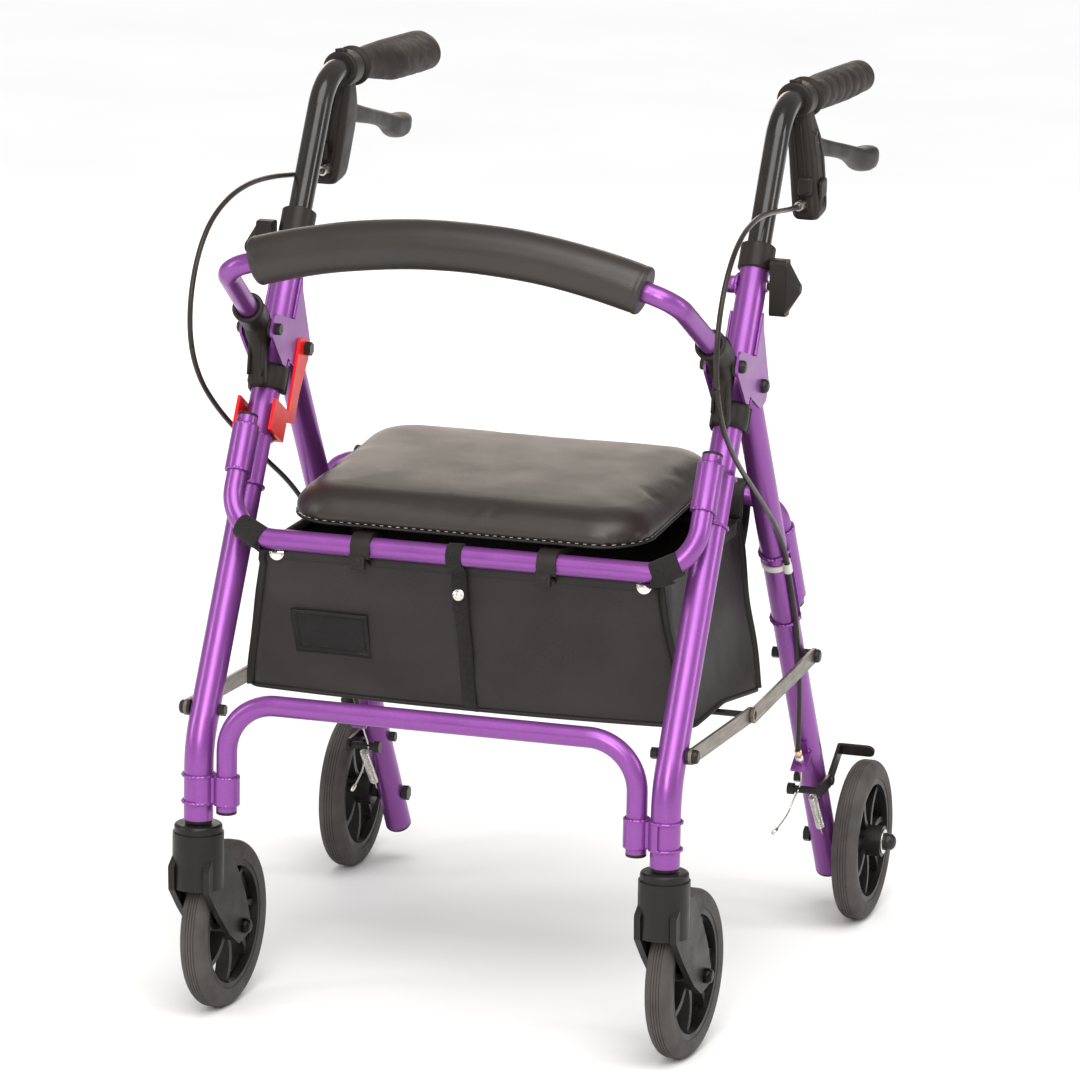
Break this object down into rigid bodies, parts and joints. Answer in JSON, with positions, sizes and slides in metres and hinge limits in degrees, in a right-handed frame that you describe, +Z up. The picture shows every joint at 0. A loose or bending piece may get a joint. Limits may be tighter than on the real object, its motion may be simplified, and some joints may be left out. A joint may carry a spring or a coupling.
{
  "type": "rollator walker",
  "caption": "Folding rollator walker with swivel casters, padded seat over a hanging pouch, padded backrest, height-adjustable handles and loop-lever cable brakes.",
  "frame": {"origin": "on the floor under the middle of the whole object, wheels standing on the floor", "axes": "+Z up; -Y towards the casters, backrest and pouch front; the user stands at +Y facing -Y, so +X is the user's left"},
  "size_m": [0.5872, 0.648, 0.8416],
  "materials": {
    "frame_paint": "metallic purple candy lacquer, glossy",
    "black_paint": "gloss black paint",
    "black_plastic": "moulded, fine grain",
    "fork_plastic": "moulded, semi matt",
    "white_plastic": "translucent tie",
    "zinc_steel": "zinc plated",
    "link_steel": "satin grey-brown coating",
    "pouch_vinyl": "grained vinyl",
    "seat_vinyl": "grained vinyl over foam",
    "webbing": "woven webbing",
    "cable_sheath": "smooth extruded sheath",
    "grip_rubber": "moulded ribbed rubber",
    "tyre_rubber": "solid tyre, fine grooves",
    "red_plastic": "moulded bright red"
  },
  "bodies": {
    "root": {"front_tubes": "frame_paint", "gusset_plates": "frame_paint", "cross_tube": "frame_paint", "seat_rail": "frame_paint", "tube_saddles": "frame_paint", "frame_end_caps": "black_plastic", "caster_bearings": "black_plastic", "handle_collars": "black_plastic", "frame_fasteners": "zinc_steel", "pouch": "pouch_vinyl", "pouch_straps": "webbing", "brake_cable_left": "cable_sheath", "brake_cable_right": "cable_sheath"},
    "rear_frame": {"rear_tubes": "frame_paint", "rear_rail": "frame_paint", "rear_rail_saddles": "frame_paint", "rear_end_caps": "black_plastic", "cable_stops": "frame_paint", "cable_clips": "white_plastic", "rear_fasteners": "zinc_steel", "return_springs": "zinc_steel", "brake_wires": "zinc_steel"},
    "front_links": {"front_link_bars": "link_steel", "link_cross_rod": "link_steel"},
    "rear_links": {"rear_link_bars": "link_steel"},
    "seat": {"seat_pad": "seat_vinyl", "seat_board": "black_plastic", "seat_clips": "black_plastic"},
    "backrest": {"backrest_tube": "frame_paint", "backrest_pad": "seat_vinyl", "backrest_brackets": "black_plastic"},
    "latch": {"fold_latch": "red_plastic"},
    "handle_left": {"handle_tube_left": "black_paint", "grip_left": "grip_rubber", "brake_housing_left": "black_plastic", "barrel_adjuster_left": "zinc_steel"},
    "park_cam_left": {"park_cam_left": "zinc_steel"},
    "brake_lever_left": {"brake_lever_left": "black_plastic"},
    "brake_arm_left": {"brake_arm_left": "zinc_steel"},
    "height_knob_left": {"height_knob_left": "black_plastic"},
    "caster_left": {"caster_fork_left": "fork_plastic", "caster_hardware_left": "zinc_steel"},
    "front_wheel_left": {"front_tyre_left": "tyre_rubber", "front_hub_left": "fork_plastic"},
    "rear_wheel_left": {"rear_tyre_left": "tyre_rubber", "rear_hub_left": "fork_plastic"},
    "handle_right": {"handle_tube_right": "black_paint", "grip_right": "grip_rubber", "brake_housing_right": "black_plastic", "barrel_adjuster_right": "zinc_steel"},
    "park_cam_right": {"park_cam_right": "zinc_steel"},
    "brake_lever_right": {"brake_lever_right": "black_plastic"},
    "brake_arm_right": {"brake_arm_right": "zinc_steel"},
    "height_knob_right": {"height_knob_right": "black_plastic"},
    "caster_right": {"caster_fork_right": "fork_plastic", "caster_hardware_right": "zinc_steel"},
    "front_wheel_right": {"front_tyre_right": "tyre_rubber", "front_hub_right": "fork_plastic"},
    "rear_wheel_right": {"rear_tyre_right": "tyre_rubber", "rear_hub_right": "fork_plastic"}
  },
  "joints": [
    {"name": "fold", "type": "hinge", "parent": "root", "child": "rear_frame", "pos_m": [0, -0.076, 0.586], "axis": [-1, 0, 0], "range_deg": [0, 38], "deforming": ["pouch", "pouch_straps"]},
    {"name": "front_link_turn", "type": "hinge", "parent": "root", "child": "front_links", "pos_m": [0, -0.2854, 0.2908], "axis": [1, 0, 0], "range_deg": [0, 50.7]},
    {"name": "rear_link_turn", "type": "hinge", "parent": "rear_frame", "child": "rear_links", "pos_m": [0, 0.11055, 0.29045], "axis": [-1, 0, 0], "range_deg": [0, 36.2]},
    {"name": "seat_lift", "type": "hinge", "parent": "root", "child": "seat", "pos_m": [0, -0.23631, 0.44245], "axis": [1, 0, 0], "range_deg": [0, 75]},
    {"name": "backrest_flip", "type": "hinge", "parent": "root", "child": "backrest", "pos_m": [0, -0.15, 0.618], "axis": [-1, 0, 0], "range_deg": [0, 70]},
    {"name": "latch_release", "type": "hinge", "parent": "root", "child": "latch", "pos_m": [0, -0.076, 0.586], "axis": [1, 0, 0], "range_deg": [0, 12]},
    {"name": "handle_height_left", "type": "slide", "parent": "root", "child": "handle_left", "axis": [0, 0.503, 0.8643], "range_m": [0, 0.1016], "deforming": ["brake_cable_left"]},
    {"name": "park_left", "type": "hinge", "parent": "handle_left", "child": "park_cam_left", "pos_m": [0.2275, 0.088, 0.781], "axis": [1, 0, 0], "range_deg": [-28, 0]},
    {"name": "squeeze_left", "type": "hinge", "parent": "park_cam_left", "child": "brake_lever_left", "pos_m": [0.2275, 0.088, 0.781], "axis": [1, 0, 0], "range_deg": [0, 11], "stiffness_Nm_per_rad": 1.5, "springref_deg": -5.73, "deforming": ["return_springs", "brake_wires"]},
    {"name": "brake_arm_turn_left", "type": "hinge", "parent": "rear_frame", "child": "brake_arm_left", "pos_m": [0.221, 0.20209, 0.14542], "axis": [1, 0, 0], "range_deg": [-4, 0]},
    {"name": "knob_turn_left", "type": "hinge", "parent": "root", "child": "height_knob_left", "pos_m": [0.239, -0.06156, 0.67512], "axis": [1, 0, 0], "continuous": true},
    {"name": "caster_swivel_left", "type": "hinge", "parent": "root", "child": "caster_left", "pos_m": [0.221, -0.302, 0.19], "axis": [0, 0, 1], "continuous": true},
    {"name": "front_wheel_spin_left", "type": "hinge", "parent": "caster_left", "child": "front_wheel_left", "pos_m": [0.22484, -0.24413, 0.0775], "axis": [0.9978, -0.0663, 0], "continuous": true},
    {"name": "rear_wheel_spin_left", "type": "hinge", "parent": "rear_frame", "child": "rear_wheel_left", "pos_m": [0.26, 0.24496, 0.0775], "axis": [1, 0, 0], "continuous": true},
    {"name": "handle_height_right", "type": "slide", "parent": "root", "child": "handle_right", "axis": [0, 0.503, 0.8643], "range_m": [0, 0.1016], "deforming": ["brake_cable_right"]},
    {"name": "park_right", "type": "hinge", "parent": "handle_right", "child": "park_cam_right", "pos_m": [-0.2275, 0.088, 0.781], "axis": [1, 0, 0], "range_deg": [-28, 0]},
    {"name": "squeeze_right", "type": "hinge", "parent": "park_cam_right", "child": "brake_lever_right", "pos_m": [-0.2275, 0.088, 0.781], "axis": [1, 0, 0], "range_deg": [0, 11], "stiffness_Nm_per_rad": 1.5, "springref_deg": -5.73},
    {"name": "brake_arm_turn_right", "type": "hinge", "parent": "rear_frame", "child": "brake_arm_right", "pos_m": [-0.221, 0.20209, 0.14542], "axis": [1, 0, 0], "range_deg": [-4, 0]},
    {"name": "knob_turn_right", "type": "hinge", "parent": "root", "child": "height_knob_right", "pos_m": [-0.239, -0.06156, 0.67512], "axis": [1, 0, 0], "continuous": true},
    {"name": "caster_swivel_right", "type": "hinge", "parent": "root", "child": "caster_right", "pos_m": [-0.221, -0.302, 0.19], "axis": [0, 0, 1], "continuous": true},
    {"name": "front_wheel_spin_right", "type": "hinge", "parent": "caster_right", "child": "front_wheel_right", "pos_m": [-0.21716, -0.24413, 0.0775], "axis": [0.9978, -0.0663, 0], "continuous": true},
    {"name": "rear_wheel_spin_right", "type": "hinge", "parent": "rear_frame", "child": "rear_wheel_right", "pos_m": [-0.26, 0.24496, 0.0775], "axis": [1, 0, 0], "continuous": true}
  ],
  "couplings": [
    {"joint": "front_link_turn", "follows": "fold", "ratio": 1.331},
    {"joint": "rear_link_turn", "follows": "fold", "ratio": 0.95},
    {"joint": "brake_arm_turn_left", "follows": "squeeze_left", "ratio": -0.3636},
    {"joint": "brake_arm_turn_right", "follows": "squeeze_right", "ratio": -0.3636}
  ]
}
